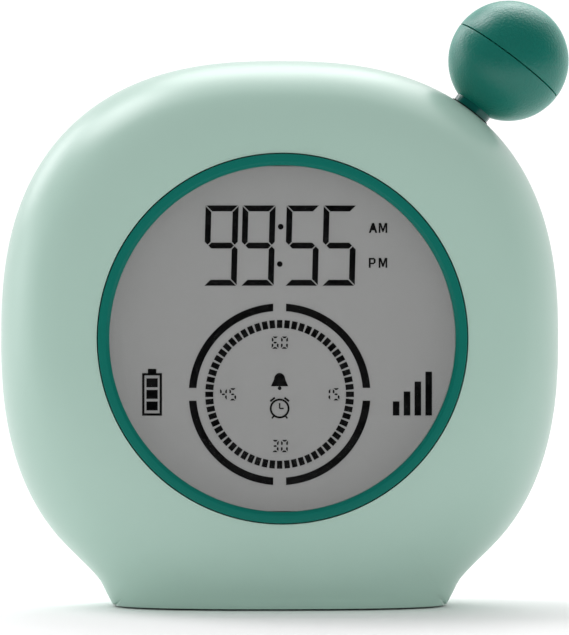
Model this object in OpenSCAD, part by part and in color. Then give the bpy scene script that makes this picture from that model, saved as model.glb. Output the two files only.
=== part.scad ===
// Desk visual timer: a soft squircle casing on a small foot, a round display behind a ring,
// and a ball knob that turns and presses on a short tilted stem.
// The front looks along -Y, +X is to the right, +Z is up, and the foot rests on z = 0.

/* [Casing] */
// Width of the casing at its widest
body_w = 120.4; // [114:0.2:130]
// Height of the casing above the surface it stands on
body_h = 117.8; // [115:0.2:126]
// Depth from the front face to the back face
body_d = 56; // [54:1:64]
// Distance from the widest section forward to the front face
front_d = 26.3; // [25:0.1:29]
// Height of the widest section
waist_z = 57.4; // [55:0.1:60]
// Squareness of the plan and of the upper half's profile, where 2 is an ellipse
squareness = 2.51; // [2.45:0.01:2.65]
// Squareness of the lower half's profile, down its height
low_drop = 2.34; // [2.25:0.01:2.5]
// Squareness of the lower half's profile, across its width
low_spread = 3; // [2.5:0.05:3.1]
// Wall thickness of both casing halves
wall = 2.4; // [2.0:0.1:2.8]
// Distance from the widest section back to the parting line
parting_y = 12; // [12:0.5:14]
// Width of the foot where it meets the surface
foot_w = 72.2; // [66:0.2:78]
// Depth of the foot where it meets the surface
foot_d = 36; // [34:1:42]
// Height of the rubber pad that shows below the casing
pad_show = 0.4; // [0.3:0.1:0.8]
// Thickness of the rubber pad
pad_t = 1.4; // [1.2:0.1:1.8]
// Length of the rubber pad
pad_l = 58; // [50:1:62]
// Width of the rubber pad
pad_w = 19; // [16:1:20]

/* [Display] */
// Outer diameter of the ring round the display
ring_d = 77.7; // [76:0.1:80]
// Width of the ring's front band
ring_band = 2.4; // [2:0.1:3]
// Height of the display's centre
display_z = 57.8; // [57:0.1:60]
// Distance that the ring stands proud of the casing
ring_proud = 0.25; // [0.1:0.05:0.5]
// Depth of the window below the front face
window_depth = 2.4; // [2.2:0.1:2.8]
// Thickness of the window
window_t = 1.6; // [1.2:0.1:2]
// Thickness of the casing's ledge behind the window
ledge_t = 1.4; // [1.2:0.1:1.8]
// Thickness of each glass of the display
glass_t = 1.1; // [0.7:0.1:1.1]
// Thickness of the layer that the display's marks lie in
mark_t = 0.2; // [0.1:0.05:0.3]
// Width across flats of the display's glass
glass_af = 78; // [77:0.5:79]
// Thickness of the light guide
guide_t = 3; // [2:0.2:3]
// Height of the large digits
digit_h = 17; // [14:0.5:18]
// Width of the large digits
digit_w = 7; // [6:0.1:7.2]
// Stroke width of the large digits
digit_stroke = 1.25; // [1:0.05:1.4]
// Outer diameter of the countdown dial
dial_d = 38.5; // [36:0.5:39]

/* [Boards] */
// Thickness of the circuit boards
board_t = 1.6; // [1.2:0.1:1.8]
// Width across flats of the main board
board_af = 77; // [75:0.5:78]
// Distance from the display holder's back to the main board
board_gap = 2.4; // [2:0.2:3]

/* [Knob] */
// Diameter of the ball
ball_d = 26.1; // [22:0.1:28]
// Wall thickness of the ball's halves
ball_wall = 1.8; // [1.5:0.1:2.2]
// Tilt of the knob's axis from upright, towards +X
knob_tilt = 37.3; // [35:0.1:40]
// Gap between the ball and the casing
ball_gap = 0.8; // [0.8:0.1:1.5]
// Diameter of the collar under the ball
collar_d = 8.7; // [8:0.1:10]
// Diameter of the encoder's shaft
shaft_d = 6; // [5.5:0.1:6]
// Travel of the knob when it is pressed
press_travel = 0.5; // [0.3:0.1:0.6]
// Side of the encoder's square housing
encoder_w = 12.4; // [11.5:0.1:12.6]

/* [Power] */
// Diameter of one battery
battery_d = 10.5; // [10.2:0.1:10.8]
// Length of one battery with its contact
battery_l = 44.5; // [43.5:0.5:45]
// Number of batteries
battery_n = 3; // [2:1:3]
// Height of the battery bay's centre
bay_z = 41; // [40:0.5:42]
// Thickness of the battery door
door_t = 2; // [1.8:0.1:2.2]

/* [Back controls] */
// Diameter of a push button
button_d = 9; // [8:0.5:9.5]
// Number of push buttons
button_n = 3; // [2:1:3]
// Distance between push buttons
button_pitch = 16; // [14:0.5:16.5]
// Height of the row of buttons above the battery bay
row_rise = 9.45; // [9:0.05:9.95]
// Travel of a push button
button_travel = 0.3; // [0.2:0.05:0.3]
// Travel of the slide switch
slide_travel = 3; // [2:0.5:3]
// Diameter of the speaker
speaker_d = 28; // [24:1:29]
// Height of the speaker's centre above the row of buttons
speaker_rise = 22; // [21.5:0.5:23]

/* [Hidden] */
$fn = 64;

mint = "#a6c0b6";
teal = "#0f665b";
teal_ring = "#12695f";
black = "#151617";
grey = "#8d8f8e";
metal = "#b9bcbe";
board_green = "#2f6b45";
cut = 1;
slip = 0.05;
fit = 0.2;
loose = 0.3;

// Casing surface
rear_d = body_d - front_d;
face_y = -front_d;
back_y = rear_d;
face_rise = 0.3;
face_soft = 6;
back_soft = 2;
bulge = 1.3;
foot_flare = 0.56;
foot_fade = 26;
foot_blend = 4.8;
floor_z = pad_show;
pad_y = parting_y - pad_w / 2 - 4.5;
round_n = 60;
level_n = 34;
inner_round_n = 48;
inner_level_n = 28;
trim_round_n = 40;
trim_level_n = 20;

function smax(a, b, k) = max(a, b) + pow(max(k - abs(a - b), 0) / k, 2) * k / 4;
function smin(a, b, k) = -smax(-a, -b, k);
function low_reach(inset) = waist_z - floor_z - inset;
function high_reach(inset) = body_h - inset - waist_z;
function rounded_off(u, along, across) = pow(max(1 - pow(min(u, 1), along), 0), 1 / across);
function reach(z, inset) = z > waist_z
  ? rounded_off((z - waist_z) / high_reach(inset), squareness, squareness)
  : rounded_off((waist_z - z) / low_reach(inset), low_drop, low_spread);
function foot_line(z, half, inset) =
  half - inset + foot_flare * foot_fade * (1 - pow(1 - min((z - floor_z) / foot_fade, 1), 2)) / 2;
function with_foot(z, half, foot_half, inset) =
  z > waist_z / 2 ? half : smax(half, foot_line(z, foot_half, inset), foot_blend);
function half_width(z, inset) =
  with_foot(z, (body_w / 2 - inset) * reach(z, inset), foot_w / 2, inset);
function half_depth(z, inset, depth) =
  with_foot(z, (depth * bulge - inset) * reach(z, inset), foot_d / 2, inset);
function bent(v) = sign(v) * pow(abs(v), 2 / squareness);
function casing_point(z, turn, inset) =
  let (
    front = sin(turn) < 0,
    y = abs(bent(sin(turn))) * half_depth(z, inset, front ? front_d : rear_d),
    flat_y = front ? front_d + face_rise - inset : rear_d - inset
  )
  [half_width(z, inset) * bent(cos(turn)),
   (front ? -1 : 1) * smin(y, flat_y, front ? face_soft : back_soft), z];
function casing_level(i, n, inset) =
  let (s = sin(-90 + 180 * i / n))
  waist_z + (s < 0 ? -pow(-s, 2 / low_drop) * low_reach(inset) : bent(s) * high_reach(inset));

// Closed surface of the casing, moved inwards by inset
module casing_form(inset, around, levels) {
  rings = [for (i = [0:levels - 1]) for (j = [0:around - 1])
    casing_point(casing_level(i, levels, inset), 360 * j / around, inset)];
  top = len(rings);
  sides = [for (i = [0:levels - 2]) for (j = [0:around - 1])
    let (a = i * around + j, b = i * around + (j + 1) % around)
    each [[a, a + around, b + around], [a, b + around, b]]];
  cap = [for (j = [0:around - 1]) [top - around + j, top, top - around + (j + 1) % around]];
  polyhedron(
    points = concat(rings, [[0, 0, body_h - inset]]),
    faces = concat([[for (j = [0:around - 1]) j]], sides, cap)
  );
}

// Placing helpers: a flat shape in X and Z, carried along Y between two depths
module span_y(y0, y1) {
  translate([0, y1, 0]) rotate([90, 0, 0]) linear_extrude(y1 - y0) children();
}
module display_slab(d0, d1) {
  translate([0, 0, display_z]) span_y(face_y + d0, face_y + d1) children();
}
function rounded(w, h, r) = [for (q = [0:3]) for (k = [0:5])
  let (a = q * 90 + k * 18, sx = (q == 0 || q == 3) ? 1 : -1, sz = q < 2 ? 1 : -1)
  [sx * (w / 2 - r) + r * cos(a), sz * (h / 2 - r) + r * sin(a)]];
module plate(w, h, r) {
  polygon(rounded(w, h, r));
}
module octagon(af) {
  rotate(22.5) circle(r = af / 2 / cos(22.5), $fn = 8);
}
module screw(head_r, head_t, shank_r, shank_l) {
  cylinder(r = head_r, h = head_t);
  translate([0, 0, -shank_l]) cylinder(r = shank_r, h = shank_l + head_t / 2);
}
module in_front_half() {
  intersection() {
    children();
    translate([-body_w, parting_y - 2 * body_d, -cut]) cube([2 * body_w, 2 * body_d, body_h + 2 * cut]);
  }
}
module in_rear_half() {
  intersection() {
    children();
    translate([-body_w, parting_y, -cut]) cube([2 * body_w, 2 * body_d, body_h + 2 * cut]);
  }
}

// Display stack, as depths below the front face
ring_r = ring_d / 2;
ring_inner_r = ring_r - ring_band;
opening_r = ring_r + loose;
window_r = ring_r - 1.6;
skirt_inner_r = window_r + fit;
ring_back = window_depth + window_t;
ledge_back = ring_back + ledge_t;
ledge_inner_r = ring_inner_r + 0.1;
ledge_wall = 2.2;
ledge_outer_r = opening_r + ledge_wall;
marks_front = ledge_back + glass_t;
marks_back = marks_front + mark_t;
rear_glass_back = marks_back + glass_t;
guide_front = rear_glass_back + fit;
holder_floor = guide_front + guide_t;
holder_t = 1.6;
holder_back = holder_floor + holder_t;
holder_wall = 1.8;
holder_af = glass_af + 2 * fit + 2 * holder_wall;
board_front = holder_back + board_gap;
board_back = board_front + board_t;
ring_chamfer = 0.5;
post_x = 29;
post_z = 20;
post_spots = [for (sx = [-1, 1]) for (sz = [-1, 1]) [sx * post_x, sz * post_z]];
ear_r = 3.4;
ear_at = (holder_af / 2 + ear_r + 1.6) * cos(45);
ear_spots = [for (sx = [-1, 1]) for (sz = [-1, 1]) [sx * ear_at, sz * ear_at]];
small_head_r = 1.9;
small_head_t = 1.3;
small_shank_r = 1;
holder_screw_l = 7;
board_screw_l = 3;
bracket_screw_l = 5;
row_screw_l = 4;
small_pilot_r = small_shank_r + slip;
strip_t = 1.6;
strip_l = glass_af * tan(22.5) - 2;
strip_at = glass_af / 2 - 0.5 - strip_t / 2;
rear_glass_h = 2 * (strip_at - strip_t / 2 - 0.4);

// Casing screws
boss_r = 3.6;
casing_shank_r = 1.3;
casing_head_r = 2.4;
casing_head_t = 1.8;
screw_reach = 11;
boss_floor = 2.6;
low_screw_z = 20;
low_screw_in = 20;
high_screw_in = 13;
high_screw_down = 34;
low_screw = [body_w / 2 - low_screw_in, low_screw_z];
high_screw = [body_w / 2 - high_screw_in, body_h - high_screw_down];
screw_spots = [[-low_screw[0], low_screw[1]], low_screw,
  [-high_screw[0], high_screw[1]], high_screw];

// Knob axis: the point of the outline whose outward direction has the knob's tilt
outline_a = body_w / 2;
outline_b = body_h - waist_z;
tilt_x = pow(outline_a * sin(knob_tilt), 1 / (squareness - 1));
tilt_z = pow(outline_b * cos(knob_tilt), 1 / (squareness - 1));
tilt_sum = pow(
  pow(outline_a * sin(knob_tilt), squareness / (squareness - 1))
  + pow(outline_b * cos(knob_tilt), squareness / (squareness - 1)), 1 / squareness);
stem_x = outline_a * tilt_x / tilt_sum;
stem_z = waist_z + outline_b * tilt_z / tilt_sum;
module at_stem(out) {
  translate([stem_x + out * sin(knob_tilt), 0, stem_z + out * cos(knob_tilt)])
    rotate([0, knob_tilt, 0]) children();
}
ball_r = ball_d / 2;
ball_at = ball_gap + ball_r;
collar_r = collar_d / 2;
shaft_r = shaft_d / 2;
stem_hole_r = collar_r + loose;
collar_top = ball_gap + 2;
collar_bottom = -(wall - 0.2);
bushing_top = collar_bottom - press_travel - 2.2;
nut_top = bushing_top - 1.2;
nut_t = 2;
washer_t = 0.5;
bracket_t = 1.6;
bracket_half = 4.3;
bracket_top = nut_top - nut_t - washer_t;
housing_top = bracket_top - bracket_t;
housing_h = 7.6;
housing_bottom = housing_top - housing_h;
bushing_r = shaft_r + 0.5;
nut_af = 9;
post_r = 2.3;
post_at = max(nut_af / 2 / cos(30), encoder_w / 2) + loose / 2 + small_head_r;
shaft_bottom = housing_top - 4.8;
plunger_t = 1;
plunger_r = shaft_r + 0.2;
flat_cut = shaft_r / 2;

// Battery bay and door
contact_room = 4;
bay_w = battery_l + 2 * contact_room;
battery_pitch = battery_d + 0.4;
bay_h = battery_n * battery_pitch + 0.4;
bay_wall = 1.6;
bay_floor_y = back_y - door_t - battery_d - 1;
battery_y = bay_floor_y + battery_d / 2 + fit;
door_w = bay_w + 4;
door_h = bay_h + 4;
door_gap = 0.25;
rim = 2;
rim_t = 4.2;
thumb_r = 5;
thumb_t = 0.9;
grip_n = 3;
grip_w = 12;
grip_t = 0.9;
grip_show = 0.4;
grip_pitch = 2.2;
grip_from = 9;
pin_r = 0.8;
pin_l = 1.2;
door_low_z = bay_z - door_h / 2;
hinge_z = door_low_z + door_t / 2;
hinge_y = back_y - door_t / 2;

// Back controls
row_z = bay_z + bay_h / 2 + row_rise;
speaker_z = row_z + speaker_rise;
row_w = (button_n - 1) * button_pitch;
row_x0 = -row_w / 2 - 8;
switch_x = row_x0 + row_w + 18;
button_flange_t = 0.8;
flange_r = button_d / 2 + 0.6;
button_show = 0.7;
button_back = back_y - wall - button_flange_t - slip;
plunger_l = 1;
switch_h = 3.5;
switch_w = 6;
switch_back = button_back - plunger_l + button_travel;
row_board_back = switch_back - switch_h;
row_board_front = row_board_back - 1.2;
row_board_h = 10;
row_post_x = [row_x0 - flange_r - post_r - 1, switch_x + 8.4];
row_board_w = row_post_x[1] - row_post_x[0] + 2 * post_r + 0.6;
row_board_x = (row_post_x[0] + row_post_x[1]) / 2;
cap_w = 4;
cap_h = 3;
slot_w = cap_w + slide_travel + 2 * loose;
speaker_r = speaker_d / 2;
speaker_t = 5;
speaker_back = back_y - wall - 0.6;
speaker_front = speaker_back - speaker_t;
speaker_wall = 1.6;
speaker_ear = speaker_r + speaker_wall + 2.8;
grille_r = 0.8;
grille_pitch = 3.6;

module front_bosses() {
  for (p = screw_spots)
    translate([p[0], parting_y, p[1]]) rotate([90, 0, 0]) cylinder(r = boss_r, h = parting_y + front_d);
  display_slab(0, ledge_back) circle(r = ledge_outer_r);
  for (p = ear_spots)
    display_slab(0, holder_floor) translate(p) circle(r = ear_r - 0.4);
  for (s = [-1, 1])
    at_stem(bracket_top) translate([0, s * post_at, 0]) cylinder(r = post_r, h = -bracket_top);
}
module front_casing() color(mint) difference() {
  union() {
    in_front_half() difference() {
      casing_form(0, round_n, level_n);
      casing_form(wall, inner_round_n, inner_level_n);
    }
    intersection() {
      front_bosses();
      casing_form(wall * 0.45, trim_round_n, trim_level_n);
    }
  }
  display_slab(-5, ring_back) circle(r = opening_r);
  display_slab(0, ledge_back + cut) circle(r = ledge_inner_r);
  for (p = ear_spots)
    display_slab(ledge_back, holder_floor + cut) translate(p) circle(r = small_pilot_r);
  for (p = screw_spots)
    translate([p[0], parting_y + cut, p[1]]) rotate([90, 0, 0])
      cylinder(r = casing_shank_r + slip, h = screw_reach + cut);
  at_stem(-wall - 6) cylinder(r = stem_hole_r, h = wall + 12);
  for (s = [-1, 1])
    at_stem(bracket_top - cut) translate([0, s * post_at, 0]) cylinder(r = small_pilot_r, h = 6);
  pad_form(floor_z - cut, pad_t, fit / 2);
}

module rear_bosses() {
  for (p = screw_spots)
    translate([p[0], parting_y, p[1]]) rotate([-90, 0, 0])
      cylinder(r = boss_r + 1.2, h = rear_d - parting_y);
  translate([0, 0, bay_z]) span_y(bay_floor_y - bay_wall, back_y)
    square([bay_w + 2 * bay_wall, bay_h + 2 * bay_wall], center = true);
  translate([0, 0, bay_z]) span_y(back_y - rim_t, back_y)
    square([door_w + 2 * rim, door_h + 2 * rim], center = true);
  translate([0, 0, speaker_z]) span_y(speaker_back - 3, back_y)
    circle(r = speaker_r + fit + speaker_wall);
  for (s = [-1, 1])
    translate([s * speaker_ear, 0, speaker_z]) span_y(speaker_front, back_y) circle(r = post_r);
  for (x = row_post_x)
    translate([x, 0, row_z]) span_y(row_board_back, back_y) circle(r = post_r);
}
module rear_casing() color(mint) difference() {
  union() {
    in_rear_half() difference() {
      casing_form(0, round_n, level_n);
      casing_form(wall, inner_round_n, inner_level_n);
    }
    intersection() {
      rear_bosses();
      casing_form(wall * 0.45, trim_round_n, trim_level_n);
    }
  }
  for (p = screw_spots) {
    translate([p[0], parting_y + boss_floor, p[1]]) rotate([-90, 0, 0])
      cylinder(r = casing_head_r + loose, h = rear_d);
    translate([p[0], parting_y - cut, p[1]]) rotate([-90, 0, 0])
      cylinder(r = casing_shank_r + fit, h = boss_floor + 2 * cut);
  }
  translate([0, 0, bay_z]) span_y(bay_floor_y, back_y + cut) square([bay_w, bay_h], center = true);
  translate([0, 0, bay_z]) span_y(back_y - door_t - door_gap, back_y + cut)
    square([door_w + 2 * door_gap, door_h + 2 * door_gap], center = true);
  translate([-door_w / 2 - pin_l - fit, hinge_y, hinge_z]) rotate([0, 90, 0])
    cylinder(r = pin_r + slip, h = door_w + 2 * pin_l + 2 * fit);
  translate([0, 0, speaker_z]) span_y(speaker_back - 3 - cut, speaker_back) circle(r = speaker_r + fit);
  translate([0, 0, speaker_z]) grille_holes();
  for (s = [-1, 1])
    translate([s * speaker_ear, 0, speaker_z]) span_y(speaker_front - cut, speaker_back - 1)
      circle(r = small_pilot_r);
  for (x = row_post_x)
    translate([x, 0, row_z]) span_y(row_board_back - cut, row_board_back + 4) circle(r = small_pilot_r);
  for (i = [0:button_n - 1])
    translate([row_x0 + i * button_pitch, 0, row_z]) span_y(back_y - wall - cut, back_y + cut)
      circle(r = button_d / 2 + fit);
  for (i = [0:button_n - 1])
    translate([row_x0 + i * button_pitch, 0, row_z]) span_y(back_y - rim_t - cut, back_y - wall)
      circle(r = flange_r + loose);
  translate([switch_x, 0, row_z]) span_y(back_y - wall - cut, back_y + cut)
    square([slot_w, cap_h + 2 * loose], center = true);
}
module grille_holes() {
  span_y(back_y - wall - 2 * cut, back_y + cut) {
    circle(r = grille_r, $fn = 24);
    for (ring = [1:3]) for (k = [0:6 * ring - 1])
      rotate(60 * k / ring) translate([ring * grille_pitch, 0]) circle(r = grille_r, $fn = 24);
  }
}

// The pad is a plate with round ends, let into the casing's floor
module pad_form(z0, z1, grow) {
  translate([0, pad_y, z0]) linear_extrude(z1 - z0)
    plate(pad_l + 2 * grow, pad_w + 2 * grow, pad_w / 2 - 1.5 + grow);
}
module foot_pad() color("#3b4340") pad_form(0, pad_t, 0);

module display_ring() color(teal_ring) translate([0, face_y, display_z]) rotate([-90, 0, 0])
  rotate_extrude($fn = 160) polygon([
    [ring_inner_r + ring_chamfer, -ring_proud], [ring_r - 0.2, -ring_proud], [ring_r, 0.2 - ring_proud],
    [ring_r, ring_back], [skirt_inner_r, ring_back], [skirt_inner_r, window_depth],
    [ring_inner_r, window_depth], [ring_inner_r, ring_chamfer - ring_proud]
  ]);
module display_window() color([0.8, 0.85, 0.85, 0.3])
  display_slab(window_depth, ring_back) circle(r = window_r, $fn = 160);
module lcd_front_glass() color([0.6, 0.65, 0.65, 0.3])
  display_slab(ledge_back, marks_front) octagon(glass_af);
module lcd_rear_glass() color(grey) display_slab(marks_back, rear_glass_back) intersection() {
  octagon(glass_af);
  square([glass_af + cut, rear_glass_h], center = true);
}
guide_af = rear_glass_h - 1.6;
led_t = 1.4;
led_w = 12;
led_at = guide_af / 2 + 0.2;
module light_guide() color("#e8ece8") display_slab(guide_front, holder_floor) octagon(guide_af);
module backlight_leds() color("#f4f4ea") for (s = [-1, 1])
  display_slab(guide_front + 0.2, holder_floor) translate([s * (led_at + led_t / 2), 0])
    square([led_t, led_w], center = true);

module display_holder() color("#dfe3e0") difference() {
  union() {
    display_slab(ledge_back + fit, holder_back) octagon(holder_af);
    for (p = ear_spots)
      display_slab(holder_floor, holder_back) translate(p) circle(r = ear_r);
    for (a = [45:90:315])
      display_slab(holder_floor, holder_back) rotate(a) translate([holder_af / 2 - 2, -ear_r])
        square([ear_r + 3.6, 2 * ear_r]);
    for (p = post_spots)
      display_slab(holder_back - 0.2, board_front) translate(p) circle(r = post_r);
  }
  display_slab(0, holder_floor) octagon(glass_af + 2 * fit);
  for (s = [-1, 1]) display_slab(0, holder_back + cut) translate([0, s * strip_at])
      square([strip_l + 2 * fit, strip_t + 2 * fit], center = true);
  for (p = ear_spots)
    display_slab(0, holder_back + cut) translate(p) circle(r = small_shank_r + fit);
  for (p = post_spots)
    display_slab(holder_floor - cut, board_front + cut) translate(p) circle(r = small_pilot_r);
}
module holder_screws() color(metal) for (p = ear_spots)
  translate([p[0], face_y + holder_back, display_z + p[1]]) rotate([-90, 0, 0])
    screw(small_head_r, small_head_t, small_shank_r, holder_screw_l);
module contact_strips() color("#4a4d55") for (s = [-1, 1])
  display_slab(marks_front, board_front) translate([0, s * strip_at])
    square([strip_l, strip_t], center = true);

module main_board() color(board_green) difference() {
  display_slab(board_front, board_back) octagon(board_af);
  for (p = post_spots)
    display_slab(board_front - cut, board_back + cut) translate(p) circle(r = small_shank_r + fit);
}
module board_screws() color(metal) for (p = post_spots)
  translate([p[0], face_y + board_back, display_z + p[1]]) rotate([-90, 0, 0])
    screw(small_head_r, small_head_t, small_shank_r, board_screw_l);
chip_w = 12;
chip_t = 1.6;
can_r = 2.5;
can_h = 6;
can_x = [-18, -11];
can_z = -6;
crystal = [3.2, 8, 2];
crystal_at = [15, 8];
small_n = 6;
small_pitch = 4;
small_z = -14;
small_size = [2, 1.2, 0.9];
module on_board(h, at) {
  display_slab(board_back, board_back + h) translate(at) children();
}
module controller_chip() color(black) on_board(chip_t, [2, 4]) square([chip_w, chip_w], center = true);
module board_components() color("#6a6f78") {
  for (x = can_x) on_board(can_h, [x, can_z]) circle(r = can_r);
  on_board(crystal[2], crystal_at) square([crystal[0], crystal[1]], center = true);
  for (k = [0:small_n - 1])
    on_board(small_size[2], [small_pitch * (k - 2), small_z])
      square([small_size[0], small_size[1]], center = true);
}
connector_w = 7;
connector_d = 4.4;
connector_h = 4;
connector_spots = [[-20, 8], [12, 24], [24, 10], [10, -8]];
module board_connectors() color("#e9e6da") for (p = connector_spots)
  on_board(connector_h, p) square([connector_w, connector_d], center = true);

// Marks of the display: seven-part digits, a countdown dial and small symbols
digit_gap = 0.17;
digit_slant = 0.025;
function flip_x(pts, w) = [for (p = pts) [w - p[0], p[1]]];
function flip_z(pts, h) = [for (p = pts) [p[0], h - p[1]]];
function slanted(pts) = [for (p = pts) [p[0] + digit_slant * p[1], p[1]]];
function bar_top(w, h, t) =
  [[digit_gap, h], [w - digit_gap, h], [w - digit_gap - t, h - t], [digit_gap + t, h - t]];
function bar_side(w, h, t) =
  [[0, h - digit_gap], [t, h - digit_gap - t], [t, h / 2 + t / 2 + digit_gap],
   [t / 2, h / 2 + digit_gap], [0, h / 2 + t / 2 + digit_gap]];
function bar_middle(w, h, t) =
  [[t / 2 + digit_gap, h / 2], [t + digit_gap, h / 2 + t / 2], [w - t - digit_gap, h / 2 + t / 2],
   [w - t / 2 - digit_gap, h / 2], [w - t - digit_gap, h / 2 - t / 2], [t + digit_gap, h / 2 - t / 2]];
function digit_bars(w, h, t) =
  [bar_top(w, h, t), flip_x(bar_side(w, h, t), w), flip_z(flip_x(bar_side(w, h, t), w), h),
   flip_z(bar_top(w, h, t), h), flip_z(bar_side(w, h, t), h), bar_side(w, h, t), bar_middle(w, h, t)];
digit_lit = [[0, 1, 2, 3, 4, 5], [1, 2], [0, 1, 3, 4, 6], [0, 1, 2, 3, 6], [1, 2, 5, 6],
  [0, 2, 3, 5, 6], [0, 2, 3, 4, 5, 6], [0, 1, 2], [0, 1, 2, 3, 4, 5, 6], [0, 1, 2, 3, 5, 6]];
module digit(n, w, h, t) {
  bars = digit_bars(w, h, t);
  for (k = digit_lit[n]) polygon(slanted(bars[k]));
}
digit_pitch = digit_w * 1.12;
digits_x = -16.6;
digits_z = 11.2;
pair_shift = 1.5;
digit_x = [for (k = [0:3]) digits_x + k * digit_pitch + (k > 1 ? pair_shift : 0)];
digit_shown = [9, 9, 5, 5];
module marks() {
  display_slab(marks_front, marks_back) children();
}
module lcd_digits() color(black) marks() {
  for (k = [0:3]) translate([digit_x[k], digits_z]) digit(digit_shown[k], digit_w, digit_h, digit_stroke);
  colon_x = (digit_x[1] + digit_w + digit_x[2]) / 2;
  for (s = [0.27, 0.735])
    translate([colon_x + digit_slant * s * digit_h, digits_z + s * digit_h]) circle(r = 0.6, $fn = 24);
}
dial_z = -11.8;
dial_x = -0.5;
dial_band = 1.6;
dial_break = 2.7;
tick_n = 60;
tick_outer = dial_d / 2 - 3.5;
tick_l = 1.7;
tick_w = 1.15;
dial_number_r = tick_outer - tick_l - 3.1;
dial_number_h = 2.6;
dial_number = [[6, 0], [1, 5], [3, 0], [4, 5]];
module small_number(pair, h) {
  w = h * 0.56;
  pitch = w * 1.35;
  full = len(pair) * pitch - (pitch - w);
  for (k = [0:len(pair) - 1])
    translate([k * pitch - full / 2, -h / 2]) digit(pair[k], w, h, h * 0.14);
}
module lcd_dial() color(black) marks() translate([dial_x, dial_z]) {
  difference() {
    circle(r = dial_d / 2, $fn = 128);
    circle(r = dial_d / 2 - dial_band, $fn = 128);
    square([dial_d + cut, dial_break], center = true);
    square([dial_break, dial_d + cut], center = true);
  }
  for (k = [0:tick_n - 1]) rotate(k * 360 / tick_n)
    translate([tick_outer - tick_l / 2, 0]) square([tick_l, tick_w], center = true);
  for (q = [0:3])
    translate(dial_number_r * [sin(90 * q), cos(90 * q)]) small_number(dial_number[q], dial_number_h);
}
module letter_a(h) {
  polygon([[0, 0], [0.2 * h, 0], [0.3 * h, 0.26 * h], [0.56 * h, 0.26 * h], [0.66 * h, 0], [0.86 * h, 0],
    [0.54 * h, h], [0.32 * h, h]]);
}
module letter_m(h) {
  polygon([[0, 0], [0.17 * h, 0], [0.17 * h, 0.66 * h], [0.36 * h, 0.1 * h], [0.5 * h, 0.1 * h],
    [0.69 * h, 0.66 * h], [0.69 * h, 0], [0.86 * h, 0], [0.86 * h, h], [0.62 * h, h], [0.43 * h, 0.42 * h],
    [0.24 * h, h], [0, h]]);
}
module letter_p(h) {
  difference() {
    polygon([[0, 0], [0.19 * h, 0], [0.19 * h, 0.36 * h], [0.48 * h, 0.36 * h], [0.68 * h, 0.52 * h],
      [0.7 * h, 0.82 * h], [0.52 * h, h], [0, h]]);
    translate([0.19 * h, 0.52 * h]) square([0.3 * h, 0.31 * h]);
  }
}
module bell(h) {
  polygon([for (k = [-6:6]) let (a = 15 * k) [0.3 * h * sin(a), 0.55 * h + 0.36 * h * cos(a)]]);
  polygon([[-0.3 * h, 0.56 * h], [-0.46 * h, 0.2 * h], [0.46 * h, 0.2 * h], [0.3 * h, 0.56 * h]]);
  translate([0, 0.1 * h]) circle(r = 0.1 * h, $fn = 24);
}
module alarm_clock(r) {
  difference() {
    circle(r = r, $fn = 48);
    circle(r = 0.8 * r, $fn = 48);
  }
  for (s = [-1, 1]) {
    rotate(s * 38) translate([0, 1.16 * r]) square([0.6 * r, 0.2 * r], center = true);
    rotate(180 + s * 38) translate([0, 1.12 * r]) square([0.16 * r, 0.3 * r], center = true);
  }
  translate([-0.07 * r, 0]) square([0.14 * r, 0.55 * r]);
  translate([0, -0.07 * r]) square([0.42 * r, 0.14 * r]);
}
letter_h = 2.1;
side_mark_x = 27.5;
module lcd_symbols() color(black) marks() {
  for (row = [0, 1])
    translate([18.4, digits_z + 11.2 - row * 7.4]) {
      if (row == 0) letter_a(letter_h);
      if (row == 1) letter_p(letter_h);
      translate([1.0 * letter_h, 0]) letter_m(letter_h);
    }
  translate([dial_x, dial_z + 0.9]) bell(4);
  translate([dial_x, dial_z - 3]) alarm_clock(2.1);
  translate([-side_mark_x, dial_z]) {
    difference() {
      square([4.2, 9], center = true);
      square([3.2, 8], center = true);
    }
    translate([0, 4.95]) square([1.8, 0.9], center = true);
    for (k = [0:2]) translate([0, -2.45 + 2.45 * k]) square([2.4, 1.9], center = true);
  }
  for (k = [0:3])
    translate([side_mark_x - 4 + 2.3 * k, dial_z - 4.5]) square([1.4, 3 + 2.1 * k]);
}

module knob_half_shell(inner_r) {
  difference() {
    sphere(r = ball_r, $fn = 96);
    sphere(r = inner_r, $fn = 96);
  }
}
seam = 0.12;
lip_t = 0.9;
lip_l = 2.2;
lip_root = 1.6;
lip_r = sqrt(pow(ball_r - ball_wall, 2) - pow(lip_l, 2)) - 3 * slip;
hub_r = shaft_r + 1.8;
hub_top = ball_at - 2.4;
shaft_top = hub_top - 0.8;
module knob_upper_half() color(teal) at_stem(ball_at) {
  difference() {
    knob_half_shell(ball_r - ball_wall);
    translate([0, 0, seam - ball_d]) cylinder(r = ball_d, h = ball_d);
  }
  difference() {
    union() {
      translate([0, 0, seam]) cylinder(r = ball_r - ball_wall / 2, h = lip_root);
      translate([0, 0, -lip_l]) cylinder(r = lip_r, h = lip_l + lip_root);
    }
    translate([0, 0, -lip_l - cut]) cylinder(r = lip_r - lip_t, h = lip_l + lip_root + 2 * cut);
  }
}
module knob_lower_half() color(teal) difference() {
  union() {
    at_stem(ball_at) difference() {
      knob_half_shell(ball_r - ball_wall);
      cylinder(r = ball_d, h = ball_d);
    }
    at_stem(collar_top) cylinder(r = hub_r, h = hub_top - collar_top);
  }
  at_stem(ball_gap - cut) cylinder(r = collar_r + slip, h = collar_top - ball_gap + cut);
  at_stem(ball_gap) cylinder(r = shaft_r + slip, h = ball_r * 2);
}
module knob_collar() color(teal) difference() {
  at_stem(collar_bottom) cylinder(r = collar_r, h = collar_top - collar_bottom);
  at_stem(collar_bottom - cut) cylinder(r = shaft_r + slip, h = collar_top - collar_bottom + 2 * cut);
}
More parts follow.
